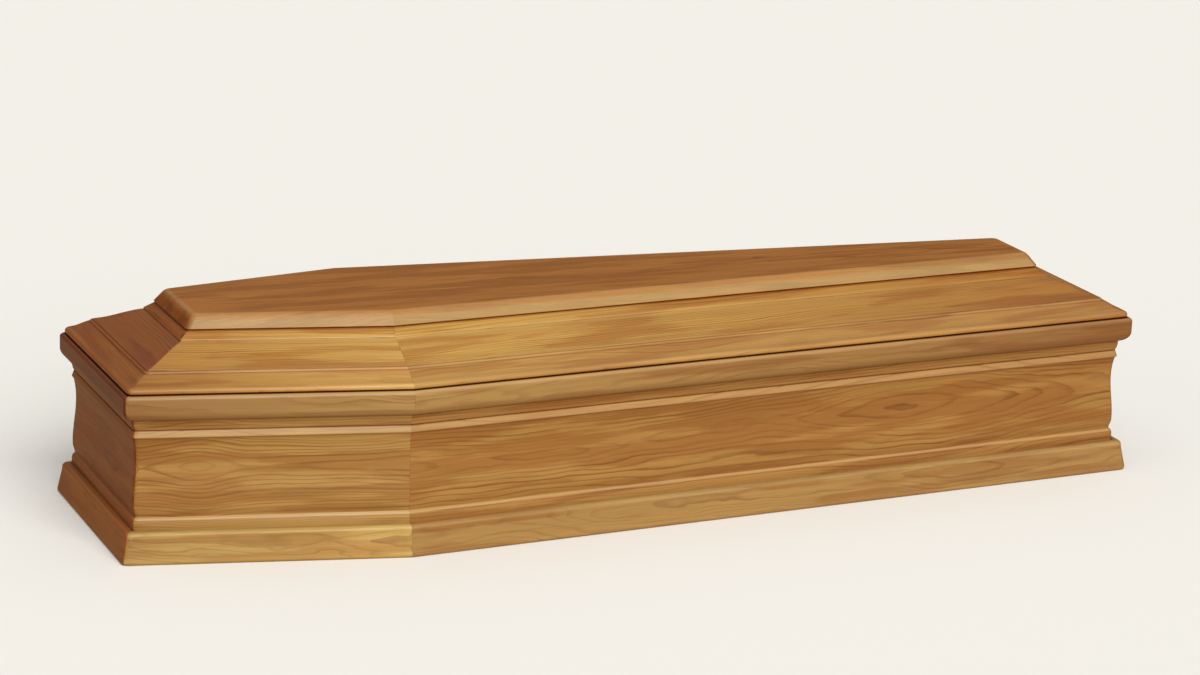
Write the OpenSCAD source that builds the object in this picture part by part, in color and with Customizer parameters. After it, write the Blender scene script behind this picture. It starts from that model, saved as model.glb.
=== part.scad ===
// Hexagonal wooden coffin with a lift-off, hipped lid.
//
// Millimetres, +Z up. X runs along the length, with the head end at -X.
// The origin is on the floor, under the middle of the overall box.
// A setback is a level distance inwards from the outermost outline,
// which is the foot of the base moulding. The same setback is used on
// all six sides, so the boards meet in mitres over every corner.

/* [Plan] */
// Overall length, over the base moulding
overall_length = 2060; // [1750:5:2250]
// Overall width at the head end
head_width = 467; // [420:1:540]
// Overall width at the shoulders
shoulder_width = 669; // [620:1:760]
// Overall width at the foot end
foot_width = 446; // [400:1:520]
// Distance from the head end to the shoulder corners
shoulder_from_head = 511; // [420:1:620]
// Radius of the rounded vertical corners
corner_radius = 12; // [6:0.5:16]
// Radius of the softer hips on the slopes of the lid
hip_radius = 7; // [4:0.5:12]

/* [Box] */
// Height of the box without its lid
box_height = 311; // [290:1:360]
// Height of the base moulding
base_height = 59; // [45:1:70]
// How far the face of the base moulding leans in towards its top
base_lean = 7.5; // [4:0.5:12]
// Height of the cornice moulding at the rim
cornice_height = 48; // [40:1:58]
// Setback of the cornice face
cornice_setback = 4.5; // [2:0.5:8]
// Setback of the flat faces of the wall boards, behind the mouldings
wall_setback = 23; // [20:0.5:26]
// Thickness of the wall boards
wall_thickness = 27; // [22:0.5:32]
// Depth of the hollow in the wall face
wall_hollow = 6.4; // [3:0.2:9]
// Thickness of the floor board
floor_thickness = 20; // [15:0.5:28]

/* [Lid] */
// Height of the whole lid
lid_height = 107; // [95:1:130]
// Setback of the outer edge of the lid
lid_setback = 12.5; // [11:0.5:16]
// Level width of the rim moulding of the lid
rim_width = 58; // [50:1:64]
// Height of the rim moulding of the lid
rim_height = 32.8; // [28:0.2:38]
// Setback of the lower edge of the sloping boards
slope_setback = 57; // [54:0.5:60]
// Setback of the step between the field and the upper strip
strip_setback = 136; // [125:1:145]
// Setback of the outer edge of the top board
top_setback = 151; // [140:1:160]
// Thickness of the top board
top_thickness = 25.5; // [20:0.5:32]
// Level width of the bevelled and rounded edge of the top board
top_round = 23.5; // [18:0.5:30]

/* [Joints] */
// Glue line left between two glued faces
glue_line = 0.1; // [0.05:0.05:0.2]

/* [Hidden] */

// Sides, counted anticlockwise from above. Side i runs from corner i to corner i + 1.
RIGHT_SHORT = 0;
RIGHT_LONG = 1;
FOOT = 2;
LEFT_LONG = 3;
LEFT_SHORT = 4;
HEAD = 5;

half_length = overall_length / 2;
shoulder_x = shoulder_from_head - half_length;
CORNERS = [
    [-half_length, -head_width / 2],
    [shoulder_x, -shoulder_width / 2],
    [half_length, -foot_width / 2],
    [half_length, foot_width / 2],
    [shoulder_x, shoulder_width / 2],
    [-half_length, head_width / 2]
];

// Heights that several boards share
cornice_bottom = box_height - cornice_height;
slope_bottom = box_height + rim_height;
top_bottom = box_height + lid_height - top_thickness;
total_height = box_height + lid_height;
inner_setback = wall_setback + wall_thickness;

// ---- Plan geometry -------------------------------------------------

function corner(i) = CORNERS[i % 6];
function along(i) = (corner(i + 1) - corner(i)) / norm(corner(i + 1) - corner(i));
function inward(i) = [-along(i)[1], along(i)[0]];

// Step towards the middle, along the mitre of corner i, for 1 mm of setback
function mitre(i) = (inward(i + 5) + inward(i)) / (1 + inward(i + 5) * inward(i));
function inset(i, setback) = corner(i) + setback * mitre(i);

// Angle that the outline turns through at corner i, and the flats in half of its round
function turn(i) = acos(inward(i + 5) * inward(i));
function half_flats(i) = turn(i) > 45 ? 3 : 1;
function turned(v, a) = [v[0] * cos(a) - v[1] * sin(a), v[0] * sin(a) + v[1] * cos(a)];

// ---- Section helpers -----------------------------------------------

// Points of an arc with its own half-widths, from angle a to angle b
function arc(centre, rx, rz, a, b, steps) = [
    for (k = [0 : steps])
        centre + [rx * cos(a + (b - a) * k / steps), rz * sin(a + (b - a) * k / steps)]
];

// A smooth S from one point to another: level at both ends when ease is 1
function ogee(from, to, ease, steps) = [
    for (k = [0 : steps])
        let (u = k / steps, s = (1 - cos(180 * u)) / 2)
            [from[0] + (to[0] - from[0]) * u, from[1] + (to[1] - from[1]) * (u + (s - u) * ease)]
];

// A smooth S that climbs in z, upright at both ends
function upright_ogee(from, to, steps) = [
    for (k = [0 : steps])
        let (u = k / steps)
            [from[0] + (to[0] - from[0]) * (1 - cos(180 * u)) / 2, from[1] + (to[1] - from[1]) * u]
];

// ---- Mitred boards -------------------------------------------------

// A station is [corner, sense, u]: the corner that it is near, +1 at the start of
// the side and -1 at its end, and 0 on the mitre to 1 where the straight part begins
function stations(i) = concat(
    [for (k = [0 : half_flats(i)]) [i, 1, k / half_flats(i)]],
    [for (k = [half_flats(i + 1) : -1 : 0]) [(i + 1) % 6, -1, k / half_flats(i + 1)]]
);

// Half of the glue line, measured along side i at a corner
function joint(i, c) = along(i) * glue_line / 2 * norm(mitre(c));

// A point of the shaped edge: every level turns the corner on the same radius
function edge_point(i, st, p, radius) =
    let (
        c = st[0],
        across = turned(mitre(c) / norm(mitre(c)), st[1] * st[2] * turn(c) / 2),
        spot = inset(c, p[0] + radius) - radius * across + st[1] * (1 - st[2]) * joint(i, c)
    )
        [spot[0], spot[1], p[1]];

// A point of the back, which meets its neighbour in a sharp mitre
function back_point(i, st, p, radius) =
    let (
        c = st[0],
        slide = along(i) * radius * tan(turn(c) / 2) * st[2],
        spot = inset(c, p[0]) + st[1] * (slide + (1 - st[2]) * joint(i, c))
    )
        [spot[0], spot[1], p[1]];

// Quads between one ring of points and the next
function between(a, b, count) = [
    for (k = [0 : count - 1]) [a * count + k, a * count + (k + 1) % count,
        b * count + (k + 1) % count, b * count + k]
];

// Triangles over a mitred end. Below the split height they fan out from the lower back edge,
// which is the last point of the ring, and above it from the upper one.
function end_fan(outer, split) =
    let (n = len(outer), low = len([for (p = outer) if (p[1] < split) p]))
        concat(
            [for (k = [0 : n - 2]) [k, k + 1, k < low - 1 ? n + 1 : n]],
            [[low - 1, n, n + 1]]
        );

// One board of side i, mitred at both ends. outer is its shaped edge from bottom to top,
// and back is its upper and lower back edge.
module board(i, outer, back, radius, split) {
    rings = stations(i);
    count = len(outer) + len(back);
    last = len(rings) - 1;
    fan = end_fan(outer, split);
    polyhedron(
        points = [
            for (st = rings)
                each concat(
                    [for (p = outer) edge_point(i, st, p, radius)],
                    [for (p = back) back_point(i, st, p, radius)]
                )
        ],
        faces = concat(
            [for (t = fan) [t[2], t[1], t[0]]],
            [for (a = [0 : last - 1]) each between(a, a + 1, count)],
            [for (t = fan) [last * count + t[0], last * count + t[1], last * count + t[2]]]
        )
    );
}

// ---- Sections ------------------------------------------------------

// Base moulding: a small round at the foot, a leaning face and a rounded shoulder
base_round = 9;
BASE_OUTER = concat(
    arc([4, 6], 4, 6, 270, 180, 4),
    [[base_lean * 0.97, base_height - base_round * 1.5]],
    arc([base_lean + base_round, base_height - base_round], base_round, base_round, 165, 90, 4)
);

// Wall board: flat for the base, a quarter bead, the hollow panel, a bead, a cove, flat for the cornice
quarter_z = base_height + 11;
quarter_rise = 10;
swell_z = quarter_z + 30;
deepest_z = box_height * 0.605;
bead_radius = 6;
bead_z = cornice_bottom - 26.5;
bead_setback = wall_setback + bead_radius + 0.4;
deepest = wall_setback + wall_hollow + 0.4;
swell = deepest - 5.4;
flare = 170;
WALL_OUTER = concat(
    [[wall_setback, 0]],
    arc([wall_setback + 4.6, quarter_z], 4.6, quarter_rise, 180, 95, 4),
    upright_ogee([wall_setback + 5, quarter_z + quarter_rise + 1], [swell, swell_z], 3),
    upright_ogee([swell, swell_z + 4], [deepest, deepest_z], 7),
    arc([deepest - flare, deepest_z + 4], flare, flare, 0, 13.5, 4),
    arc([bead_setback, bead_z], bead_radius, bead_radius, 222, 110, 5),
    arc([wall_setback + 4.6, cornice_bottom], 4.6, 19.8, 268, 182, 4),
    [[wall_setback, box_height]]
);

// Cornice: a deep round below, an upright face and a smaller round on top
cornice_deep = 20;
cornice_top = 7;
CORNICE_OUTER = concat(
    arc([cornice_setback + cornice_deep, cornice_bottom + cornice_deep],
        cornice_deep, cornice_deep, 264, 180, 6),
    arc([cornice_setback + cornice_top, box_height - cornice_top],
        cornice_top, cornice_top, 180, 90, 4)
);

// Lid rim: shadow rebate, round nose, long cove and a small arris against the slope
shadow_gap = 2.6;
nose_z = box_height + 5.8;
rim_top = box_height + rim_height;
RIM_OUTER = concat(
    [[lid_setback + 7, box_height], [lid_setback + 7, box_height + shadow_gap],
     [lid_setback, box_height + shadow_gap]],
    arc([lid_setback + 7, nose_z], 7, 6.6, 180, 105, 4),
    ogee([lid_setback + 9, nose_z + 7.6], [slope_setback - 6.5, rim_top - 3.6], 0.3, 5),
    [[slope_setback - 5, rim_top - 1], [slope_setback - 2.5, rim_top]]
);

// Sloping board: a butt edge, the field in a slow S, a small round step and the upper strip
field_low = slope_bottom + 1;
field_high = top_bottom - 17.6;
strip_low = top_bottom - 13;
SLOPE_OUTER = concat(
    [[slope_setback, slope_bottom]],
    ogee([slope_setback + 0.6, field_low], [strip_setback + 0.6, field_high], 0.35, 8),
    arc([strip_setback + 3, field_high + 1.6], 3, 3, 180, 110, 3),
    [[top_setback + 5, top_bottom]]
);
slope_inner_low = slope_setback + 54;
slope_inner_high = top_setback + 36;

// Top board: a small arris below, a wide bevel and a round shoulder onto the flat top
bevel_angle = 56;
bevel_round = 12;
TOP_OUTER = concat(
    [[top_setback + 1, top_bottom], [top_setback, top_bottom + 1.8]],
    arc([top_setback + top_round, total_height - bevel_round], bevel_round, bevel_round,
        90 + bevel_angle, 90, 4)
);

// ---- Pieces --------------------------------------------------------

// Flat board inside the foot of the walls
module floor_board() {
    color("burlywood")
        linear_extrude(floor_thickness)
            polygon([for (i = [0 : 5]) inset(i, inner_setback + glue_line)]);
}

// One of the six wall boards
module wall(i) {
    color("peru")
        board(i, WALL_OUTER, [[inner_setback, box_height], [inner_setback, 0]], corner_radius,
            box_height / 2);
}

// One length of the base moulding
module base_moulding(i) {
    back = wall_setback - glue_line;
    color("#C08A4E")
        board(i, BASE_OUTER, [[back, base_height], [back, 0]], corner_radius, base_height / 2);
}

// One length of the cornice
module cornice(i) {
    back = wall_setback - glue_line;
    color("#C89A62")
        board(i, CORNICE_OUTER, [[back, box_height], [back, CORNICE_OUTER[0][1]]], corner_radius,
            box_height - cornice_height / 2);
}

// One length of the lid's rim moulding
module lid_rim(i) {
    back = lid_setback + rim_width;
    color("#B98345")
        board(i, RIM_OUTER, [[back, rim_top], [back, box_height]], corner_radius,
            box_height + shadow_gap);
}

// One of the six sloping boards of the lid
module lid_slope(i) {
    color("#AC763C")
        board(i, SLOPE_OUTER, [[slope_inner_high, top_bottom], [slope_inner_low, slope_bottom]],
            hip_radius, field_high + 1);
}

// One level of the top board's outline, with its corners rounded
function plan_loop(p) = [
    for (c = [0 : 5], k = [-half_flats(c) : half_flats(c)])
        let (
            across = turned(mitre(c) / norm(mitre(c)), turn(c) / 2 * k / half_flats(c)),
            spot = inset(c, p[0] + corner_radius) - corner_radius * across
        )
            [spot[0], spot[1], p[1]]
];

// The flat top board, with all its edges shaped alike
module lid_top_board() {
    count = len(plan_loop(TOP_OUTER[0]));
    last = len(TOP_OUTER) - 1;
    color("#95602F")
        polyhedron(
            points = [for (p = TOP_OUTER) each plan_loop(p)],
            faces = concat(
                [[for (k = [0 : count - 1]) k]],
                [for (a = [0 : last - 1]) each between(a + 1, a, count)],
                [[for (k = [count - 1 : -1 : 0]) last * count + k]]
            )
        );
}

floor_board();
wall(HEAD);  // wall_head
wall(RIGHT_SHORT);  // wall_right_short
wall(RIGHT_LONG);  // wall_right_long
wall(FOOT);  // wall_foot
wall(LEFT_LONG);  // wall_left_long
wall(LEFT_SHORT);  // wall_left_short
base_moulding(HEAD);  // base_moulding_head
base_moulding(RIGHT_SHORT);  // base_moulding_right_short
base_moulding(RIGHT_LONG);  // base_moulding_right_long
base_moulding(FOOT);  // base_moulding_foot
base_moulding(LEFT_LONG);  // base_moulding_left_long
base_moulding(LEFT_SHORT);  // base_moulding_left_short
cornice(HEAD);  // cornice_head
cornice(RIGHT_SHORT);  // cornice_right_short
cornice(RIGHT_LONG);  // cornice_right_long
cornice(FOOT);  // cornice_foot
cornice(LEFT_LONG);  // cornice_left_long
cornice(LEFT_SHORT);  // cornice_left_short
lid_rim(HEAD);  // lid_rim_head
lid_rim(RIGHT_SHORT);  // lid_rim_right_short
lid_rim(RIGHT_LONG);  // lid_rim_right_long
lid_rim(FOOT);  // lid_rim_foot
lid_rim(LEFT_LONG);  // lid_rim_left_long
lid_rim(LEFT_SHORT);  // lid_rim_left_short
lid_slope(HEAD);  // lid_slope_head
lid_slope(RIGHT_SHORT);  // lid_slope_right_short
lid_slope(RIGHT_LONG);  // lid_slope_right_long
lid_slope(FOOT);  // lid_slope_foot
lid_slope(LEFT_LONG);  // lid_slope_left_long
lid_slope(LEFT_SHORT);  // lid_slope_left_short
lid_top_board();
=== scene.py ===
"""A six-sided varnished pine coffin with a lift-off, hipped lid.

Every course of the coffin is six mitred boards, with one flat board on top and one at the bottom.
Each mitred board is one section swept along its side by Geometry Nodes. It carries its own place in
the log, so that its figure is cut from real rings.
"""
import math
from functools import partial

import bmesh
import bpy
import numpy as np
from mathutils import Euler, Matrix, Vector


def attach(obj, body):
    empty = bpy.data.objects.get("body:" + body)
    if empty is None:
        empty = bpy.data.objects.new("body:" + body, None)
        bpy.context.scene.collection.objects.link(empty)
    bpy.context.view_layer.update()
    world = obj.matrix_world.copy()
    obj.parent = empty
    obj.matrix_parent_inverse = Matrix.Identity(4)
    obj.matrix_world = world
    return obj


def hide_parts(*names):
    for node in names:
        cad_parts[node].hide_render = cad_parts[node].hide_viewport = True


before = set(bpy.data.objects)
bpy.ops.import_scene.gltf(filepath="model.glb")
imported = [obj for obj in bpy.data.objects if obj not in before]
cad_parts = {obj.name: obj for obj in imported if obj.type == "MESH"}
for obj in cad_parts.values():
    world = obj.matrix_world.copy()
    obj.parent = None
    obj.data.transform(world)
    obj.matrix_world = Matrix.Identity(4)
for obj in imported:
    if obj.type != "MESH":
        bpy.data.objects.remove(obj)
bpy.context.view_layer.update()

MM = 0.001

# ---- Sizes, in millimetres ---------------------------------------------------------------------

HEAD_WIDTH = 467
SHOULDER_WIDTH = 669
FOOT_WIDTH = 446
LENGTH = 2060
SHOULDER_FROM_HEAD = 511
CORNER_RADIUS = 12
HIP_RADIUS = 7

# Rounded corners: flats on each half of one, and how far past it the next ring of points lies
CORNER_STEPS = 9
CORNER_MARGIN = 3

# Glued mitres: the gap in the joint, how far its dark line spreads, and how dark that is
GLUE_LINE = 0.1
JOINT_LINE = 0.8
JOINT_DARK = 0.18

BOX_HEIGHT = 311
BASE_HEIGHT = 59
BASE_LEAN = 7.5
CORNICE_SETBACK = 4.5
CORNICE_BOTTOM = BOX_HEIGHT - 48
WALL_SETBACK = 23
WALL_BACK = WALL_SETBACK + 27
WALL_HOLLOW = 6.4

TOTAL_HEIGHT = 418
LID_SETBACK = 12.5
RIM_BACK = LID_SETBACK + 58
RIM_TOP = BOX_HEIGHT + 32.8
SHADOW_GAP = 2.6
SLOPE_SETBACK = 57
STRIP_SETBACK = 136
TOP_SETBACK = 151
TOP_BOTTOM = TOTAL_HEIGHT - 25.5
TOP_ROUND = 23.5
TOP_END_FADE = 12

# Bends: the least that is shaded sharp, the least that sanding takes off, and one marked in full
SHARP_EDGE = math.radians(38)
SANDED_BEND = math.radians(25)
FULL_BEND = math.radians(70)

# Sides, counted anticlockwise from above: side i runs from corner i to corner i + 1
SIDES = ["right_short", "right_long", "foot", "left_long", "left_short", "head"]

SHOULDER_X = SHOULDER_FROM_HEAD - LENGTH / 2
CORNERS = [
    Vector((-LENGTH / 2, -HEAD_WIDTH / 2)),
    Vector((SHOULDER_X, -SHOULDER_WIDTH / 2)),
    Vector((LENGTH / 2, -FOOT_WIDTH / 2)),
    Vector((LENGTH / 2, FOOT_WIDTH / 2)),
    Vector((SHOULDER_X, SHOULDER_WIDTH / 2)),
    Vector((-LENGTH / 2, HEAD_WIDTH / 2)),
]


# ---- Plan: directions, mitres and rounded corners ----------------------------------------------

def along(side):
    """Level direction of a side."""
    return (CORNERS[(side + 1) % 6] - CORNERS[side % 6]).normalized()


def inward(side):
    """Level direction from a side towards the middle."""
    return Vector((-along(side).y, along(side).x))


def mitre(corner):
    """Step along the mitre of a corner for 1 mm of setback."""
    before, after = inward(corner + 5), inward(corner)
    return (before + after) / (1 + before.dot(after))


def turn(corner):
    """Angle that the outline turns through at a corner."""
    return math.acos(inward(corner + 5).dot(inward(corner)))


def turned(vector, angle):
    """A level vector, turned about the upright axis."""
    return Matrix.Rotation(angle, 2) @ vector


def stations(side, radius, flats):
    """(front base, back base, mitre, joint) wherever a board of that side has a ring of points.

    A point of the front face is its base plus its setback times the mitre. The back is sharp.
    joint is strongest at the glued mitre itself and falls to nothing about 1.5 mm away. One more
    ring, a little past each rounded corner, holds the shading of the flat between them.
    """
    rows = []
    for corner, sense in ((side % 6, 1), ((side + 1) % 6, -1)):
        step, angle = mitre(corner), turn(corner)
        gap = along(side) * GLUE_LINE / 2 * step.length
        row = []
        for k in range(flats + 1):
            u = k / flats
            across = turned(step.normalized(), sense * u * angle / 2)
            front = CORNERS[corner] + radius * (step - across) + sense * (1 - u) * gap
            slide = along(side) * radius * math.tan(angle / 2) * u
            back = CORNERS[corner] + sense * (slide + (1 - u) * gap)
            joint = JOINT_DARK * math.exp(-((radius * u * angle / 2 / JOINT_LINE) ** 2))
            row.append((front, back, step, joint))
        nudge = sense * CORNER_MARGIN * along(side)
        row.append((row[-1][0] + nudge, row[-1][1] + nudge, step, 0))
        rows.append(row)
    return rows[0] + rows[1][::-1]


# ---- Sections: (setback, height), bottom to top ------------------------------------------------

def arc(centre, rx, rz, start, end, steps):
    """Points of an arc of an ellipse, with its angles in degrees."""
    angles = np.radians(np.linspace(start, end, steps + 1))
    return [(centre[0] + rx * math.cos(a), centre[1] + rz * math.sin(a)) for a in angles]


def ogee(start, end, ease, steps):
    """A smooth S that is level at both ends when ease is 1."""
    us = np.linspace(0, 1, steps + 1)
    rise = us + ((1 - np.cos(math.pi * us)) / 2 - us) * ease
    return [(start[0] + (end[0] - start[0]) * u, start[1] + (end[1] - start[1]) * r)
            for u, r in zip(us, rise)]


def upright_ogee(start, end, steps):
    """A smooth S that climbs, upright at both ends."""
    us = np.linspace(0, 1, steps + 1)
    return [(start[0] + (end[0] - start[0]) * (1 - math.cos(math.pi * u)) / 2,
             start[1] + (end[1] - start[1]) * u) for u in us]


def soften(points, radius, steps=4):
    """Take the sharpness off every arris and inner corner, as sanding does."""
    points = [Vector(p) for p in points]
    soft = [points[0]]
    for before, here, after in zip(points, points[1:], points[2:]):
        a, b = before - here, after - here
        if a.angle(b) > math.pi - SANDED_BEND:
            soft.append(here)
            continue
        start = here + a.normalized() * min(radius, 0.45 * a.length)
        end = here + b.normalized() * min(radius, 0.45 * b.length)
        for k in range(steps + 1):
            t = k / steps
            soft.append(start * (1 - t) ** 2 + here * 2 * t * (1 - t) + end * t * t)
    return soft + [points[-1]]


def closer(points, longest=7, margin=1.2):
    """Split long straight runs, with a row of points close to each end that holds the shading flat."""
    fine = [points[0]]
    for start, end in zip(points, points[1:]):
        run = (end - start).length
        if run > 3 * margin:
            first, last = margin / run, 1 - margin / run
            count = max(1, round(run / longest))
            fine += [start.lerp(end, first + (last - first) * k / count) for k in range(count + 1)]
        fine.append(end)
    return fine


def hollows(points, lines, reach=2.2):
    """How far each point lies in an inner corner (+1) or on an arris (-1), or on a level line.

    The mark of a bend fades out over the reach, in mm: an inner corner is marked dark as painted shade
    and gathered varnish, an arris pale as a painted highlight and rubbed varnish. A level line is
    (height, half its width, amount): dark as a joint and as painted shade where the amount is above
    nothing, pale as rubbed varnish and a painted highlight where it is below, and plain at nothing.
    A later line lies over the earlier ones.
    """
    flat = np.array([tuple(p) for p in points])
    steps = np.diff(flat, axis=0)
    run = np.concatenate([[0], np.cumsum(np.hypot(*steps.T))])
    heading = np.unwrap(np.arctan2(steps[:, 1], steps[:, 0]))
    bends = np.concatenate([[0], np.diff(heading), [0]])
    near = np.exp(-(((run[:, None] - run[None]) / reach) ** 2))
    amounts = (near * bends[None]).sum(1) / FULL_BEND
    for height, width, amount in lines:
        there = np.exp(-(((flat[:, 1] - height) / width) ** 4))
        amounts = amounts * (1 - there) + amount * there
    return np.clip(amounts, -1, 1)


def section(front, back, lines=(), radius=0.9):
    """A whole section: (points, hollow amounts, 1 for each point of the back)."""
    front = closer(soften(front, radius))
    points = front + [Vector(p) for p in back]
    # Painted shade in the inner corners and painted highlights on the arrises, with the level lines
    amounts = list(hollows(front, lines)) + [0.0] * len(back)
    return points, amounts, [0.0] * len(front) + [1.0] * len(back)


def base_section():
    """Base moulding: a small round foot, a leaning face and a rounded shoulder."""
    shoulder = 9
    back = WALL_SETBACK - GLUE_LINE
    front = (
        arc((4, 6), 4, 6, 270, 180, 6)
        + [(BASE_LEAN * 0.97, BASE_HEIGHT - shoulder * 1.5)]
        + arc((BASE_LEAN + shoulder, BASE_HEIGHT - shoulder), shoulder, shoulder, 165, 90, 8)
        + [(back - 0.4, BASE_HEIGHT)]
    )
    return section(front, [(back, BASE_HEIGHT), (back, 0)])


def wall_section():
    """Wall board: a quarter bead above the base, a long hollow, a flat leaning bead and a cove."""
    cut = 4.6  # depth of the quarter bead and of the cove
    quarter, rise = BASE_HEIGHT + 11, 10
    deepest, deepest_z = WALL_SETBACK + WALL_HOLLOW + 0.4, BOX_HEIGHT * 0.605
    swell, swell_z = deepest - 5.4, quarter + 30
    flare, bead_foot, bead_top = 170, CORNICE_BOTTOM - 33, CORNICE_BOTTOM - 21.5
    front = (
        [(WALL_SETBACK, 0)]
        + arc((WALL_SETBACK + cut, quarter), cut, rise, 180, 95, 9)
        + upright_ogee((WALL_SETBACK + 5, quarter + rise + 1), (swell, swell_z), 8)
        + upright_ogee((swell, swell_z + 4), (deepest, deepest_z), 16)
        + arc((deepest - flare, deepest_z + 4), flare, flare, 0, 11.8, 10)
        + [(WALL_SETBACK + 0.4, bead_foot), (WALL_SETBACK + 0.4, bead_foot + 1.5),
           (WALL_SETBACK + 3.4, bead_top), (WALL_SETBACK + 4.8, bead_top + 0.8)]
        + arc((WALL_SETBACK + cut, CORNICE_BOTTOM), cut, 19.8, 268, 182, 10)
        + [(WALL_SETBACK, BOX_HEIGHT)]
    )
    # Level lines: dark at the base and under the cornice, a dark joint and painted shade; painted
    # shade low on the quarter bead and above the flat bead; two thin dark lines in the cove; pale
    # along the quarter bead and the flat bead, painted highlights on rubbed varnish
    return section(front, [(WALL_BACK, BOX_HEIGHT), (WALL_BACK, 0)],
                   lines=((BASE_HEIGHT + 0.5, 2.2, 0.7), (quarter + 5, 2.5, 0.15),
                          (quarter + rise + 1.5, 2, 0), (quarter + rise - 1, 1.8, -0.95),
                          (bead_foot - 2, 2, 0), ((bead_foot + bead_top) / 2, 6, -0.58),
                          (bead_top + 1.6, 1.3, 0.6), (CORNICE_BOTTOM - 12, 1, 0.25),
                          (CORNICE_BOTTOM - 6, 1.2, 0.3), (CORNICE_BOTTOM - 0.5, 2, 0.2)))


def cornice_section():
    """Cornice: a deep round below, an upright face and a smaller round on top."""
    deep, top = 20, 7
    back = WALL_SETBACK - GLUE_LINE
    front = (
        arc((CORNICE_SETBACK + deep, CORNICE_BOTTOM + deep), deep, deep, 264, 180, 14)
        + arc((CORNICE_SETBACK + top, BOX_HEIGHT - top), top, top, 180, 90, 8)
        + [(back - 0.4, BOX_HEIGHT)]
    )
    # Level lines: pale over the deep round below, painted light against its shade; pale on the top
    # arris, a painted highlight; dark on the flat top, painted shade in the shadow gap under the lid
    return section(front, [(back, BOX_HEIGHT), (back, front[0][1])],
                   lines=((CORNICE_BOTTOM + 2, 8, -0.9), (BOX_HEIGHT - 1.5, 2.2, -0.95),
                          (BOX_HEIGHT, 0.1, 1.0)))


def rim_section():
    """Lid rim: a shadow rebate, a round nose, a long cove and a small arris against the slope."""
    nose = BOX_HEIGHT + 5.8
    front = (
        [(LID_SETBACK + 7, BOX_HEIGHT), (LID_SETBACK + 7, BOX_HEIGHT + SHADOW_GAP),
         (LID_SETBACK, BOX_HEIGHT + SHADOW_GAP)]
        + arc((LID_SETBACK + 7, nose), 7, 6.6, 180, 105, 8)
        + ogee((LID_SETBACK + 9, nose + 7.6), (SLOPE_SETBACK - 6.5, RIM_TOP - 3.6), 0.3, 10)
        + [(SLOPE_SETBACK - 5, RIM_TOP - 1), (SLOPE_SETBACK - 2.5, RIM_TOP),
           (SLOPE_SETBACK - 0.3, RIM_TOP)]
    )
    # Level lines: dark in the shadow rebate, painted shade; dark at the arris against the slope, a
    # dark joint
    return section(front, [(RIM_BACK, RIM_TOP), (RIM_BACK, BOX_HEIGHT)],
                   lines=((BOX_HEIGHT + 1.2, 2.8, 1.0), (RIM_TOP + 0.6, 1.0, 0.4)), radius=0.7)


def slope_section():
    """Sloping board: a butt edge, the field in a slow S, a round step and the upper strip."""
    field_high = TOP_BOTTOM - 17.6
    front = (
        [(SLOPE_SETBACK, RIM_TOP)]
        + ogee((SLOPE_SETBACK + 0.6, RIM_TOP + 1), (STRIP_SETBACK + 0.6, field_high), 0.35, 20)
        + arc((STRIP_SETBACK + 3, field_high + 1.6), 3, 3, 180, 110, 6)
        + [(TOP_SETBACK + 5, TOP_BOTTOM)]
    )
    back = [(TOP_SETBACK + 36, TOP_BOTTOM), (SLOPE_SETBACK + 54, RIM_TOP)]
    # Level lines: dark at the joint with the rim; pale at the round step, a painted highlight; dark
    # under the top board, a dark joint and painted shade
    return section(front, back, radius=0.6,
                   lines=((RIM_TOP, 1.2, 0.5), (field_high + 0.8, 3, -0.6), (TOP_BOTTOM, 3, 0.9)))


def top_section():
    """Edge of the top board: a small arris below, a wide bevel and a round shoulder."""
    bevel, shoulder = 56, 12
    inner = TOP_SETBACK + TOP_ROUND
    front = (
        [(TOP_SETBACK + 1, TOP_BOTTOM), (TOP_SETBACK, TOP_BOTTOM + 1.8)]
        + arc((inner, TOTAL_HEIGHT - shoulder), shoulder, shoulder, 90 + bevel, 90, 10)
        + [(inner + 8, TOTAL_HEIGHT)]
    )
    points = closer(soften(front, 0.6))
    # Level lines: pale over the bevel, a painted sheen; dark along the bottom arris, a dark joint and
    # painted shade
    return points, hollows(points, ((TOP_BOTTOM + 10.5, 9, -0.6), (TOP_BOTTOM + 0.4, 1.4, 0.9)))


# ---- Nodes: one helper for shaders and geometry ------------------------------------------------

def add(tree, kind, inputs=None, **settings):
    """Add a node with its settings, and fill or link its inputs.

    An input is named, or numbered where names repeat. A value that is a node is linked from its
    first working output.
    """
    node = tree.nodes.new(kind)
    for name, value in settings.items():
        setattr(node, name, value)
    for name, value in (inputs or {}).items():
        working = [s for s in node.inputs if s.enabled]
        socket = working[name] if isinstance(name, int) else next(
            s for s in working if s.name == name)
        if isinstance(value, bpy.types.Node):
            value = next(s for s in value.outputs if s.enabled)
        if isinstance(value, bpy.types.NodeSocket):
            tree.links.new(value, socket)
        else:
            socket.default_value = value
    return node


BOARD_INPUTS = {
    "Section": "Object", "Start": "Vector", "Along": "Vector", "Inward": "Vector",
    "Length": "Float", "Pith": "Vector", "Lean": "Rotation", "Log": "Vector", "Swell": "Vector",
    "Near stain": "Vector", "Far stain": "Vector", "Wood": "Material",
}


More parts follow.
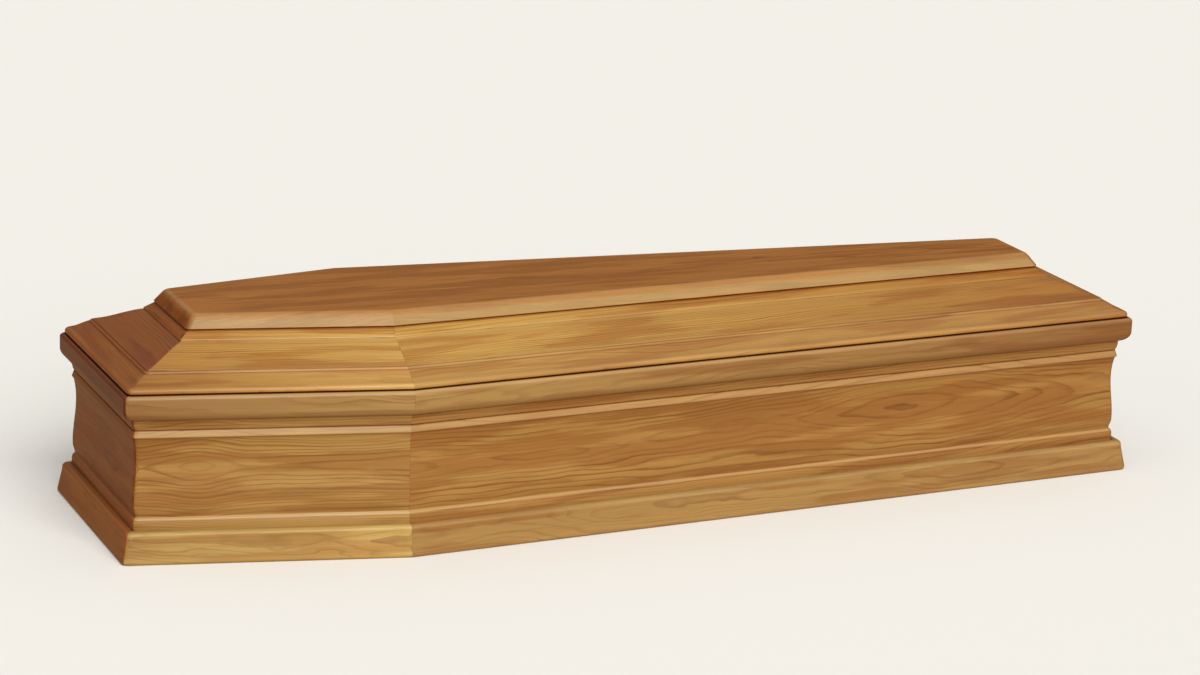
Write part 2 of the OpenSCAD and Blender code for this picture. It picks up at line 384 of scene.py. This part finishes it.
def mitred_board_tree():
    """Geometry Nodes: sweep a section along one side, mitred and rounded at both of its ends."""
    tree = bpy.data.node_groups.new("mitred board", "GeometryNodeTree")
    put = partial(add, tree)
    face = tree.interface
    face.new_socket("Stations", in_out="INPUT", socket_type="NodeSocketGeometry")
    for name, kind in BOARD_INPUTS.items():
        face.new_socket(name, in_out="INPUT", socket_type="NodeSocket" + kind)
    face.new_socket("Board", in_out="OUTPUT", socket_type="NodeSocketGeometry")
    sizes = put("NodeGroupInput").outputs
    path = sizes["Stations"]
    shape = put("GeometryNodeObjectInfo", {"Object": sizes["Section"]}).outputs["Geometry"]

    # A tube with one ring for each station and one point for each point of the section
    rings = put("GeometryNodeAttributeDomainSize", {"Geometry": path})
    points = put("GeometryNodeAttributeDomainSize", {"Geometry": shape})
    line = put("GeometryNodeCurvePrimitiveLine")
    spine = put("GeometryNodeResampleCurve", {"Curve": line, "Count": rings})
    loop = put("GeometryNodeCurvePrimitiveCircle", {"Resolution": points})
    tube = put("GeometryNodeCurveToMesh", {
        "Curve": spine, "Profile Curve": loop, "Fill Caps": True})
    outward = put("GeometryNodeFlipFaces", {"Mesh": tube})

    # What the section says of each point, and what the station says of its ring
    index = put("GeometryNodeInputIndex")
    ring = put("FunctionNodeIntegerMath", {0: index, 1: points}, operation="DIVIDE")
    spot = put("FunctionNodeIntegerMath", {0: index, 1: points}, operation="MODULO")
    told = {}
    for source, at, name, kind in (
            (shape, spot, "profile", "FLOAT_VECTOR"), (shape, spot, "is_back", "FLOAT"),
            (shape, spot, "hollow", "FLOAT"), (path, ring, "front_base", "FLOAT_VECTOR"),
            (path, ring, "back_base", "FLOAT_VECTOR"), (path, ring, "mitre", "FLOAT_VECTOR"),
            (path, ring, "joint", "FLOAT")):
        value = put("GeometryNodeInputNamedAttribute", {"Name": name}, data_type=kind)
        told[name] = put("GeometryNodeSampleIndex", {
            "Geometry": source, "Value": value, "Index": at}, data_type=kind)

    # Each point: its base, plus its setback along the mitre, plus its height
    profile = put("ShaderNodeSeparateXYZ", {"Vector": told["profile"]}).outputs
    base = put("ShaderNodeMix", {
        "Factor": told["is_back"], "A": told["front_base"], "B": told["back_base"]},
        data_type="VECTOR")
    rise = put("ShaderNodeCombineXYZ", {"Z": profile["Y"]})
    level = put("ShaderNodeVectorMath", {0: base, 1: rise})
    setback = put("ShaderNodeCombineXYZ", {
        "X": profile["X"], "Y": profile["X"], "Z": profile["X"]})
    place = put("ShaderNodeVectorMath", {0: told["mitre"], 1: setback, 2: level},
                operation="MULTIPLY_ADD")
    mesh = put("GeometryNodeSetPosition", {"Geometry": outward, "Position": place})

    # The board's place in its log: along the board, into it and up it, measured from the pith
    here = put("GeometryNodeInputPosition")
    away = put("ShaderNodeVectorMath", {0: here, 1: sizes["Start"]}, operation="SUBTRACT")
    run = put("ShaderNodeVectorMath", {0: away, 1: sizes["Along"]}, operation="DOT_PRODUCT")
    depth = put("ShaderNodeVectorMath", {0: away, 1: sizes["Inward"]}, operation="DOT_PRODUCT")
    up = put("ShaderNodeSeparateXYZ", {"Vector": here}).outputs["Z"]
    local = put("ShaderNodeCombineXYZ", {"X": run, "Y": depth, "Z": up})
    centred = put("ShaderNodeVectorMath", {0: local, 1: sizes["Pith"]}, operation="SUBTRACT")
    grain = put("FunctionNodeRotateVector", {"Vector": centred, "Rotation": sizes["Lean"]})

    # The board's tone and painted shade, mixed from its start to its end
    share = put("ShaderNodeMath", {0: run, 1: sizes["Length"]}, operation="DIVIDE",
                use_clamp=True)
    stain = put("ShaderNodeMix", {
        "Factor": share, "A": sizes["Near stain"], "B": sizes["Far stain"]}, data_type="VECTOR")
    # Painted shade and highlights of the section, with the dark line of the glued mitre
    hollow = put("ShaderNodeMath", {0: told["hollow"], 1: told["joint"]}, operation="ADD")
    for name, kind, value in (
            ("grain", "FLOAT_VECTOR", grain), ("hollow", "FLOAT", hollow),
            ("log", "FLOAT_VECTOR", sizes["Log"]), ("swell", "FLOAT_VECTOR", sizes["Swell"]),
            ("stain", "FLOAT_VECTOR", stain)):
        mesh = put("GeometryNodeStoreNamedAttribute", {
            "Geometry": mesh, "Name": name, "Value": value}, data_type=kind)
    bend = put("GeometryNodeInputMeshEdgeAngle").outputs["Unsigned Angle"]
    sharp = put("FunctionNodeCompare", {"A": bend, "B": SHARP_EDGE}, operation="GREATER_THAN")
    smooth = put("GeometryNodeSetShadeSmooth", {0: mesh, "Shade Smooth": True})
    edged = put("GeometryNodeSetShadeSmooth", {
        0: smooth, "Selection": sharp, "Shade Smooth": False}, domain="EDGE")
    real = put("GeometryNodeRealizeInstances", {"Geometry": edged})
    wood = put("GeometryNodeSetMaterial", {"Geometry": real, "Material": sizes["Wood"]})
    put("NodeGroupOutput", {"Board": wood})
    return tree


# ---- Materials ---------------------------------------------------------------------------------

def srgb(code, alpha=1.0):
    """Linear colour of an sRGB hex code."""
    channels = [int(code[i:i + 2], 16) / 255 for i in (1, 3, 5)]
    linear = [c / 12.92 if c <= 0.04045 else ((c + 0.055) / 1.055) ** 2.4 for c in channels]
    return (*linear, alpha)


# Patterns in the wood: name, length along the grain and width across it in mm, and detail.
# Fibre and pores are really about 0.05 mm and 0.2 mm wide, and are drawn coarser so that they show
PATTERNS = (
    ("sweep", 600, 110, 2), ("ripple", 95, 22, 2), ("cloud", 280, 26, 4), ("fade", 260, 46, 2),
    ("streak", 240, 6, 1), ("fibre", 140, 1.3, 2), ("pores", 40, 1.5, 1),
)
SWEEP_DEPTH = 15
RIPPLE_DEPTH = 1.8
# Dark of joints and gathered varnish, also painted shade in inner corners and in the shadow gap
GATHERED_VARNISH_AND_SHADE = "#6A2208"

# The floor board: its place in the log in metres, its seed, and the width of a year's ring in mm
FLOOR_FROM_PITH = (0.3, 0.04, 0.06)
FLOOR_SEED = 4.0
FLOOR_RING = 5.2


def pine_figure(put, grain, seed, ring, swelling):
    """Sockets for the figure of sawn pine: late-wood lines, and the patterns named above."""
    found = {}
    for name, length, width, detail in PATTERNS:
        size = (1000 / length, 1000 / width, 1000 / width)
        place = put("ShaderNodeVectorMath", {0: grain, 1: size}, operation="MULTIPLY")
        found[name] = put("ShaderNodeTexNoise", {
            "Vector": place, "W": seed, "Scale": 1.0, "Detail": detail},
            noise_dimensions="4D", normalize=name not in ("sweep", "ripple"))

    # The log wanders as it grows, so its rings are not true cylinders
    bent = grain
    for name, depth in (("sweep", SWEEP_DEPTH), ("ripple", RIPPLE_DEPTH)):
        bent = put("ShaderNodeVectorMath", {
            0: found[name].outputs["Color"], 1: (0, depth * MM, depth * MM), 2: bent},
            operation="MULTIPLY_ADD")
    across = put("ShaderNodeVectorMath", {0: bent, 1: (0, 1, 1)}, operation="MULTIPLY")
    radius = put("ShaderNodeVectorMath", {0: across}, operation="LENGTH")
    radius = put("ShaderNodeMath", {0: radius, 1: swelling}, operation="SUBTRACT")

    # Year rings: early wood darkens slowly to a thin late-wood line with a crisp outer side
    pace = put("ShaderNodeTexNoise", {"W": radius, "Scale": 60, "Detail": 1},
               noise_dimensions="1D", normalize=False)
    even = put("ShaderNodeMath", {0: radius, 1: ring}, operation="DIVIDE")
    years = put("ShaderNodeMath", {0: pace, 1: 0.8, 2: even}, operation="MULTIPLY_ADD")
    season = put("ShaderNodeMath", {0: years}, operation="FRACT")
    year = put("ShaderNodeMath", {0: years}, operation="FLOOR")
    autumn = put("ShaderNodeMapRange", {"Value": season, "From Min": 0.5, "From Max": 0.92},
                 interpolation_type="SMOOTHSTEP")
    autumn = put("ShaderNodeMath", {0: autumn, 1: 1.4}, operation="POWER")
    winter = put("ShaderNodeMapRange", {"Value": season, "From Min": 1.0, "From Max": 0.94},
                 interpolation_type="SMOOTHSTEP")
    luck = put("ShaderNodeTexWhiteNoise", {"W": year}, noise_dimensions="1D").outputs["Value"]
    strength = put("ShaderNodeMapRange", {"Value": luck, "To Min": 0.4, "To Max": 1.0})
    faint = put("ShaderNodeMapRange", {
        "Value": found["fade"], "From Min": 0.35, "From Max": 0.6, "To Min": 0.45},
        interpolation_type="SMOOTHSTEP")
    lines = autumn
    for part in (winter, strength, faint):
        lines = put("ShaderNodeMath", {0: lines, 1: part}, operation="MULTIPLY")
    return lines, found


def varnished_pine(name, straw, amber, late, pale="#C8A670", line=0.6, amber_from=0.45):
    """Flat-sawn pine under satin varnish: straw and amber early wood, thin late-wood lines, fibre.

    The varnish evens the surface out, so the grain is colour under a soft sheen. The colour goes dark
    in the hollows and joints, as dark joints, gathered varnish and painted shade, and pale on the
    arrises, as rubbed varnish and a painted highlight; pale is that paler colour. line is how strong
    the late wood is, and amber_from how far the straw patches reach.
    """
    material = bpy.data.materials.new(name)
    material.use_nodes = True
    tree = material.node_tree
    tree.nodes.clear()
    put = partial(add, tree)
    grain = put("ShaderNodeAttribute", attribute_name="grain").outputs["Vector"]
    hollow = put("ShaderNodeAttribute", attribute_name="hollow").outputs["Fac"]
    stain = put("ShaderNodeAttribute", attribute_name="stain").outputs["Vector"]
    log = put("ShaderNodeAttribute", attribute_name="log").outputs["Vector"]
    swell = put("ShaderNodeAttribute", attribute_name="swell").outputs["Vector"]
    seed, ring, _ = put("ShaderNodeSeparateXYZ", {"Vector": log}).outputs
    rise, reach, _ = put("ShaderNodeSeparateXYZ", {"Vector": swell}).outputs

    # One swelling of the log under each board closes the lines into ovals there
    run = put("ShaderNodeSeparateXYZ", {"Vector": grain}).outputs["X"]
    share = put("ShaderNodeMath", {0: run, 1: reach}, operation="DIVIDE")
    square = put("ShaderNodeMath", {0: share, 1: share}, operation="MULTIPLY")
    bell = put("ShaderNodeMath", {0: math.exp(-1), 1: square}, operation="POWER")
    swelling = put("ShaderNodeMath", {0: bell, 1: rise}, operation="MULTIPLY")
    lines, found = pine_figure(put, grain, seed, ring, swelling)

    patch = put("ShaderNodeMapRange", {
        "Value": found["cloud"], "From Min": amber_from, "From Max": amber_from + 0.12},
        interpolation_type="SMOOTHSTEP")
    colour = put("ShaderNodeMix", {"Factor": patch, "A": srgb(straw), "B": srgb(amber)},
                 data_type="RGBA")
    dark = put("ShaderNodeMath", {0: lines, 1: line}, operation="MULTIPLY", use_clamp=True)
    colour = put("ShaderNodeMix", {"Factor": dark, "A": colour, "B": srgb(late)},
                 data_type="RGBA")
    # Dark in joints and hollows: dark joints, gathered varnish and painted shade. Pale on arrises:
    # rubbed varnish and painted highlights
    gathered_and_shade = put("ShaderNodeMath", {0: hollow, 1: 0.9}, operation="MULTIPLY", use_clamp=True)
    colour = put("ShaderNodeMix", {"Factor": gathered_and_shade, "A": colour, "B": srgb(GATHERED_VARNISH_AND_SHADE)},
                 data_type="RGBA")
    rubbed_and_highlight = put("ShaderNodeMath", {0: hollow, 1: -0.7}, operation="MULTIPLY", use_clamp=True)
    colour = put("ShaderNodeMix", {"Factor": rubbed_and_highlight, "A": colour, "B": srgb(pale)},
                 data_type="RGBA")

    # Fibre, streaks and pores shade the colour, each by up to a sixth
    shade = 1.0
    for part, low, high in (("fibre", 0.88, 1.12), ("streak", 0.84, 1.16)):
        swing = put("ShaderNodeMapRange", {
            "Value": found[part], "To Min": low, "To Max": high})
        shade = put("ShaderNodeMath", {0: swing, 1: shade}, operation="MULTIPLY")
    pore = put("ShaderNodeMapRange", {
        "Value": found["pores"], "From Min": 0.64, "From Max": 0.74, "To Min": 1.0,
        "To Max": 0.86}, interpolation_type="SMOOTHSTEP")
    shade = put("ShaderNodeMath", {0: pore, 1: shade}, operation="MULTIPLY")
    # The board's tone and painted shade multiply the colour here
    tinted = put("ShaderNodeVectorMath", {0: stain, "Scale": shade}, operation="SCALE")
    colour = put("ShaderNodeMix", {"Factor": 1.0, "A": colour, "B": tinted},
                 data_type="RGBA", blend_type="MULTIPLY")

    # The late wood stands a hair proud under the varnish
    relief = put("ShaderNodeMath", {0: lines, 1: 0.5, 2: found["fibre"]},
                 operation="MULTIPLY_ADD")
    bump = put("ShaderNodeBump", {"Strength": 0.15, "Distance": 0.0004, "Height": relief})
    rough = put("ShaderNodeMapRange", {
        "Value": found["fibre"], "To Min": 0.32, "To Max": 0.44})
    surface = put("ShaderNodeBsdfPrincipled", {
        "Base Color": colour, "Roughness": rough, "IOR": 1.5, "Specular IOR Level": 0.25,
        "Normal": bump})
    put("ShaderNodeOutputMaterial", {"Surface": surface})
    return material


def planed_pine(name, straw, amber, late):
    """Bare planed pine of the floor inside: paler, drier and duller than the varnished faces."""
    material = bpy.data.materials.new(name)
    material.use_nodes = True
    tree = material.node_tree
    tree.nodes.clear()
    put = partial(add, tree)
    spot = put("ShaderNodeTexCoord").outputs["Object"]
    grain = put("ShaderNodeMapping", {"Vector": spot, "Location": FLOOR_FROM_PITH})
    lines, found = pine_figure(put, grain, FLOOR_SEED, FLOOR_RING * MM, 0.0)
    colour = put("ShaderNodeMix", {
        "Factor": found["cloud"], "A": srgb(straw), "B": srgb(amber)}, data_type="RGBA")
    dark = put("ShaderNodeMath", {0: lines, 1: 0.5}, operation="MULTIPLY")
    colour = put("ShaderNodeMix", {"Factor": dark, "A": colour, "B": srgb(late)},
                 data_type="RGBA")
    bump = put("ShaderNodeBump", {
        "Strength": 0.3, "Distance": 0.0004, "Height": found["fibre"]})
    surface = put("ShaderNodeBsdfPrincipled", {
        "Base Color": colour, "Roughness": 0.65, "Specular IOR Level": 0.3, "Normal": bump})
    put("ShaderNodeOutputMaterial", {"Surface": surface})
    return material


def floor_paint(name):
    """Matt painted studio floor: plain, pale and even.

    The wood sees a darker, warmer floor than the eye does, as when flags stand round the set.
    """
    material = bpy.data.materials.new(name)
    material.use_nodes = True
    tree = material.node_tree
    tree.nodes.clear()
    put = partial(add, tree)
    seen = put("ShaderNodeBsdfDiffuse", {"Color": srgb(FLOOR_SEEN)})
    thrown = put("ShaderNodeBsdfDiffuse", {"Color": srgb(FLOOR_THROWN)})
    looking = put("ShaderNodeLightPath").outputs["Is Camera Ray"]
    paint = put("ShaderNodeMixShader", {0: looking, 1: thrown, 2: seen})
    put("ShaderNodeOutputMaterial", {"Surface": paint})
    return material


# ---- Pieces ------------------------------------------------------------------------------------

def link(obj):
    """Put an object into the scene."""
    bpy.context.scene.collection.objects.link(obj)
    return obj


def store(mesh, name, values):
    """Keep a number or a vector for each point of a mesh."""
    flat = np.array(values, dtype=np.float32)
    kind, field = ("FLOAT", "value") if flat.ndim == 1 else ("FLOAT_VECTOR", "vector")
    mesh.attributes.new(name, kind, "POINT").data.foreach_set(field, flat.ravel())


def section_object(name, shape):
    """A loop of points that holds one section, in metres."""
    points, amounts, backs = shape
    mesh = bpy.data.meshes.new(name)
    count = len(points)
    spots = [(p.x * MM, p.y * MM, 0) for p in points]
    mesh.from_pydata(spots, [(k, (k + 1) % count) for k in range(count)], [])
    store(mesh, "profile", spots)
    store(mesh, "hollow", amounts)
    store(mesh, "is_back", backs)
    return link(bpy.data.objects.new(name, mesh))


def station_object(side, radius, flats):
    """A row of points, one for each ring of a board, with its mitre and its sharp back corner."""
    rows = stations(side, radius, flats)
    mesh = bpy.data.meshes.new("stations")
    fronts = [(*(r[0] * MM), 0) for r in rows]
    mesh.from_pydata(fronts, [(k, k + 1) for k in range(len(rows) - 1)], [])
    store(mesh, "front_base", fronts)
    store(mesh, "back_base", [(*(r[1] * MM), 0) for r in rows])
    store(mesh, "mitre", [(*r[2], 0) for r in rows])
    store(mesh, "joint", [r[3] for r in rows])
    return link(bpy.data.objects.new("stations", mesh))


def board(name, side, shape, wood, log, radius, tree):
    """Run the sweep for one board and keep the result as a plain mesh."""
    maker = station_object(side, radius, CORNER_STEPS)
    modifier = maker.modifiers.new("mitred board", "NODES")
    modifier.node_group = tree
    length = (CORNERS[(side + 1) % 6] - CORNERS[side]).length * MM
    values = {"Section": shape, "Start": (*(CORNERS[side] * MM), 0), "Along": (*along(side), 0),
              "Inward": (*inward(side), 0), "Length": length, "Wood": wood, **log}
    for item in tree.interface.items_tree:
        if item.in_out == "INPUT" and item.name in values:
            modifier[item.identifier] = values[item.name]
    graph = bpy.context.evaluated_depsgraph_get()
    graph.update()
    mesh = bpy.data.meshes.new_from_object(
        maker.evaluated_get(graph), preserve_all_data_layers=True, depsgraph=graph)
    bpy.data.objects.remove(maker)
    mesh.name = name
    return link(bpy.data.objects.new(name, mesh))


def top_board(name, wood, log, flats=CORNER_STEPS):
    """The flat top board: one outline at every level of its shaped edge, closed above and below."""
    points, amounts = top_section()
    mesh = bpy.data.meshes.new(name)
    work = bmesh.new()
    grain = work.verts.layers.float_vector.new("grain")
    hollow = work.verts.layers.float.new("hollow")
    stain = work.verts.layers.float_vector.new("stain")
    same = {work.verts.layers.float_vector.new(layer): log[value] for layer, value in (
        ("log", "Log"), ("swell", "Swell"))}
    turn_round = Euler(log["Lean"]).to_matrix()
    loops = []
    for point, amount in zip(points, amounts):
        loop = []
        for corner in range(6):
            step = mitre(corner)
            for k in range(-flats, flats + 1):
                across = turned(step.normalized(), turn(corner) / 2 * k / flats)
                spot = (CORNERS[corner] + (point.x + CORNER_RADIUS) * step
                        - CORNER_RADIUS * across)
                vert = work.verts.new((spot.x * MM, spot.y * MM, point.y * MM))
                vert[grain] = turn_round @ (Vector((spot.x * MM, point.y * MM, spot.y * MM))
                                            - Vector(log["Pith"]))
                # An edge facing the head or the foot is darkened as painted shade, in place of its
                # level lines; the flat top is left as it is
                drop = min(1, (TOTAL_HEIGHT - point.y) / TOP_END_FADE)
                end = across.normalized().x ** 2 * drop
                vert[hollow] = amount * (1 - end)
                vert[stain] = Vector((1, 1, 1)).lerp(Vector(TOP_END_SHADE), end)
                for layer, value in same.items():
                    vert[layer] = value
                loop.append(vert)
        loops.append(loop)
    count = len(loops[0])
    for low, high in zip(loops, loops[1:]):
        for k in range(count):
            n = (k + 1) % count
            work.faces.new((low[k], low[n], high[n], high[k]))
    work.faces.new(loops[0][::-1])
    work.faces.new(loops[-1])
    for face in work.faces:
        face.smooth = True
    work.to_mesh(mesh)
    work.free()
    mesh.set_sharp_from_angle(angle=SHARP_EDGE)
    mesh.materials.append(wood)
    return link(bpy.data.objects.new(name, mesh))


# ---- Camera, light and floor -------------------------------------------------------------------

CAMERA_SPOT = (-2.67862, -6.22678, 2.12162)
CAMERA_TURNS = (66.914289, -15.148740, 2.098742)
SENSOR_WIDTH = 36
LENS = 109.739
FARTHEST_SEEN = 200


def place_camera():
    """A long lens, above the lid and off the head end's right corner."""
    yaw, pitch, roll = (math.radians(angle) for angle in CAMERA_TURNS)
    ahead = Vector((math.cos(yaw) * math.cos(pitch), math.sin(yaw) * math.cos(pitch),
                    math.sin(pitch)))
    right = Vector((math.sin(yaw), -math.cos(yaw), 0))
    up = right.cross(ahead)
    side = right * math.cos(roll) + up * math.sin(roll)
    top = up * math.cos(roll) - right * math.sin(roll)
    data = bpy.data.cameras.new("camera")
    data.sensor_width = SENSOR_WIDTH
    data.lens = LENS
    data.clip_end = FARTHEST_SEEN
    camera = link(bpy.data.objects.new("camera", data))
    turned_to = Matrix((side, top, -ahead)).transposed().to_4x4()
    camera.matrix_world = Matrix.Translation(CAMERA_SPOT) @ turned_to
    bpy.context.scene.camera = camera


# Lamps: name, strength, how wide the source looks in degrees, colour, and the way the light goes
LAMPS = (
    ("key", 3.7, 50, (1.0, 0.99, 0.97), (0.03, 0.80, -0.60)),
    ("fill", 0.75, 60, (1.0, 0.80, 0.60), (0.95, 0.25, -0.12)),
    ("sky", 0.7, 90, (1.0, 1.0, 1.0), (0.05, -0.40, -0.90)),
)
ROOM = "#F3F0E8"
ROOM_FRONT = (0.25, -0.80, 0.45)
ROOM_BEHIND_LIGHT = 0.06
ROOM_FRONT_LIGHT = 0.36
FLOOR_REACH = 40
FLOOR_SEEN = "#E4E3DF"
FLOOR_THROWN = "#BE9C78"


def light_room():
    """A broad soft key in front, a weak warm fill at the head and a weak light from above.

    The room lights the coffin more from in front than from behind, and looks pale all round.
    """
    scene = bpy.context.scene
    scene.view_settings.view_transform = "Standard"
    for name, strength, width, colour, direction in LAMPS:
        lamp = bpy.data.lights.new(name, "SUN")
        lamp.energy = strength
        lamp.angle = math.radians(width)
        lamp.color = colour
        holder = link(bpy.data.objects.new(name, lamp))
        holder.rotation_euler = Vector(direction).to_track_quat("-Z", "Y").to_euler()
    world = bpy.data.worlds.new("room")
    world.use_nodes = True
    world.node_tree.nodes.clear()
    put = partial(add, world.node_tree)
    ray = put("ShaderNodeTexCoord").outputs["Generated"]
    front = put("ShaderNodeVectorMath", {0: ray, 1: ROOM_FRONT}, operation="DOT_PRODUCT")
    strength = put("ShaderNodeMapRange", {
        "Value": front, "From Min": -0.4, "From Max": 0.9, "To Min": ROOM_BEHIND_LIGHT,
        "To Max": ROOM_FRONT_LIGHT}, interpolation_type="SMOOTHSTEP")
    lighting = put("ShaderNodeBackground", {"Color": srgb(ROOM), "Strength": strength})
    seen = put("ShaderNodeBackground", {"Color": srgb(ROOM), "Strength": 1.0})
    looking = put("ShaderNodeLightPath").outputs["Is Camera Ray"]
    room = put("ShaderNodeMixShader", {0: looking, 1: lighting, 2: seen})
    put("ShaderNodeOutputWorld", {"Surface": room})
    scene.world = world


def lay_floor():
    """One square of plain floor, wide enough to have no edge in sight."""
    corners = [(x * FLOOR_REACH, y * FLOOR_REACH, 0) for x, y in ((-1, -1), (1, -1), (1, 1), (-1, 1))]
    mesh = bpy.data.meshes.new("studio_floor")
    mesh.from_pydata(corners, [], [(0, 1, 2, 3)])
    mesh.materials.append(floor_paint("matt floor paint"))
    floor = link(bpy.data.objects.new("studio_floor", mesh))


# ---- The coffin --------------------------------------------------------------------------------

WOODS = {
    "panel_wood": varnished_pine("varnished pine panels", "#AE8648", "#9E7038", "#744A1E",
                                 line=0.85),
    "moulding_wood": varnished_pine("varnished pine mouldings", "#B28E58", "#A57A48", "#7A5026",
                                    line=0.6),
    "slope_wood": varnished_pine("varnished pine lid slopes", "#BC904C", "#AB7738", "#764414",
                                 line=0.95, amber_from=0.48),
    # The top is darker partly as painted shade on its upward face; its pale is a painted sheen on the
    # bevel
    "top_wood": varnished_pine("varnished pine top darkened partly as painted shade", "#9C6328", "#8C551D", "#683A0C",
                               pale="#A0986A", line=0.6),
    "floor_wood": planed_pine("planed pine floor", "#DDBE90", "#CFA672", "#A67C4A"),
}

# (course, section, slot, corner radius, height of the board's middle in mm)
COURSES = [
    ("base_moulding", base_section(), "moulding_wood", CORNER_RADIUS, 30),
    ("wall", wall_section(), "panel_wood", CORNER_RADIUS, 155),
    ("cornice", cornice_section(), "moulding_wood", CORNER_RADIUS, 287),
    ("lid_rim", rim_section(), "moulding_wood", CORNER_RADIUS, 327),
    ("lid_slope", slope_section(), "slope_wood", HIP_RADIUS, 368),
]

# Tone and painted shade at the start and the end of a board, as red, green and blue: of every board
# on a side, or of one board where its course is named too. It is each board's own tone and painted
# shade as well: the head boards darkest and reddest, the long sides and the foot darker to the foot.
BOARD_TONE_AND_SHADE = {
    "right_short": ((1.0, 1.0, 1.0), (1.0, 1.0, 1.0)),
    # Long sides and the foot: darker towards the foot, as painted shade
    "right_long": ((0.87, 0.81, 0.80), (0.74, 0.62, 0.60)),
    "foot": ((0.82, 0.70, 0.64), (0.82, 0.70, 0.64)),
    "left_long": ((0.82, 0.72, 0.66), (0.92, 0.88, 0.86)),
    "left_short": ((1.0, 1.0, 1.0), (1.0, 1.0, 1.0)),
    # The head end, here and in its courses below: much darker and redder, as painted shade
    "head": ((0.62, 0.34, 0.20), (0.62, 0.34, 0.20)),
    "wall_head": ((0.55, 0.30, 0.18), (0.55, 0.30, 0.18)),
    "base_moulding_right_short": ((0.88, 0.88, 0.77), (1.18, 1.28, 1.10)),
    "base_moulding_right_long": ((0.83, 0.78, 0.72), (0.83, 0.78, 0.77)),
    "wall_right_short": ((0.93, 0.91, 0.88), (1.08, 1.18, 1.24)),
    "wall_right_long": ((0.98, 0.96, 0.92), (0.90, 0.82, 0.78)),
    "cornice_right_short": ((0.76, 0.65, 0.61), (1.00, 1.04, 0.94)),
    "cornice_right_long": ((1.02, 1.02, 0.89), (0.70, 0.55, 0.48)),
    "cornice_head": ((0.31, 0.11, 0.06), (0.31, 0.11, 0.06)),
    "lid_rim_right_short": ((0.75, 0.64, 0.45), (1.36, 1.62, 1.68)),
    "lid_rim_right_long": ((1.12, 1.26, 1.26), (0.96, 0.94, 0.94)),
    "lid_rim_head": ((0.73, 0.48, 0.20), (0.73, 0.48, 0.20)),
    "lid_slope_right_short": ((0.79, 0.70, 0.56), (1.15, 1.32, 1.42)),
    "lid_slope_right_long": ((1.09, 1.24, 1.24), (0.70, 0.56, 0.40)),
    "lid_slope_head": ((0.51, 0.28, 0.08), (0.51, 0.28, 0.08)),
}

# Painted shade on the edge of the top board, where it faces the head or the foot
TOP_END_SHADE = (0.62, 0.48, 0.40)

# How each course differs from the wood it is made of
TONES = {
    "base_moulding": (0.82, 0.84, 0.76), "wall": (0.80, 0.79, 0.83), "cornice": (0.72, 0.72, 0.75),
    "lid_rim": (0.72, 0.59, 0.42), "lid_slope": (0.80, 0.74, 0.64),
}

# Boards cut where the log swells, in mm: the pith along the board, up it and into it, the width of
# a year's ring, and how far the log swells and over what reach
FIGURED = {
    "wall_right_short": (138, 167, 60, 5.4, 8.5, 62),
    "wall_right_long": (1060, 165, 95, 5.2, 17, 300),
    "lid_slope_right_short": (700, 300, -50, 4.4, 6, 90),
    "lid_slope_right_long": (900, 300, -60, 4.4, 5, 150),
}


def log_of(course, side_name, middle, rng):
    """Where in its log a board is cut from, and its tone and painted shade at each end.

    A board with no figure of its own is cut from anywhere.
    """
    run, up, deep, ring, rise, reach = FIGURED.get(f"{course}_{side_name}", (
        rng.uniform(100, 900), middle + rng.uniform(-30, 30), rng.uniform(80, 160),
        rng.uniform(2.6, 4.6), rng.uniform(2, 10), rng.uniform(80, 240)))
    depth = rng.uniform(0.97, 1.03)
    ends = BOARD_TONE_AND_SHADE.get(f"{course}_{side_name}", BOARD_TONE_AND_SHADE[side_name])
    near, far = (depth * np.array(TONES[course]) * end for end in ends)
    return {"Pith": (run * MM, deep * MM, up * MM),
            "Lean": (0, rng.uniform(-0.01, 0.01), rng.uniform(-0.015, 0.015)),
            "Log": (rng.uniform(0, 50), ring * MM, 0), "Swell": (rise * MM, reach * MM, 0),
            "Near stain": tuple(near), "Far stain": tuple(far)}


def build_boards():
    """All thirty mitred boards, each cut from its own place in the log."""
    tree = mitred_board_tree()
    rng = np.random.default_rng(11)
    for course, shape, slot, radius, middle in COURSES:
        guide = section_object(course + "_section", shape)
        for side, side_name in enumerate(SIDES):
            node = f"{course}_{side_name}"
            log = log_of(course, side_name, middle, rng)
            piece = board("shaped_" + node, side, guide, WOODS[slot], log, radius, tree)
            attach(piece, "root")
            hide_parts(node)
        bpy.data.objects.remove(guide)


# Where the top board lies in its log, in metres
TOP_LOG = {"Pith": (0.5, 0.50, 0.01), "Lean": (0.0, 0.006, 0.008), "Log": (7.0, 0.0042, 0),
           "Swell": (0.006, 0.3, 0)}

build_boards()
top = top_board("shaped_lid_top_board", WOODS["top_wood"], TOP_LOG)
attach(top, "root")
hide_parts("lid_top_board")

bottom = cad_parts["floor_board"]
for place in range(len(bottom.material_slots)):
    bottom.material_slots[place].material = WOODS["floor_wood"]

place_camera()
light_room()
lay_floor()
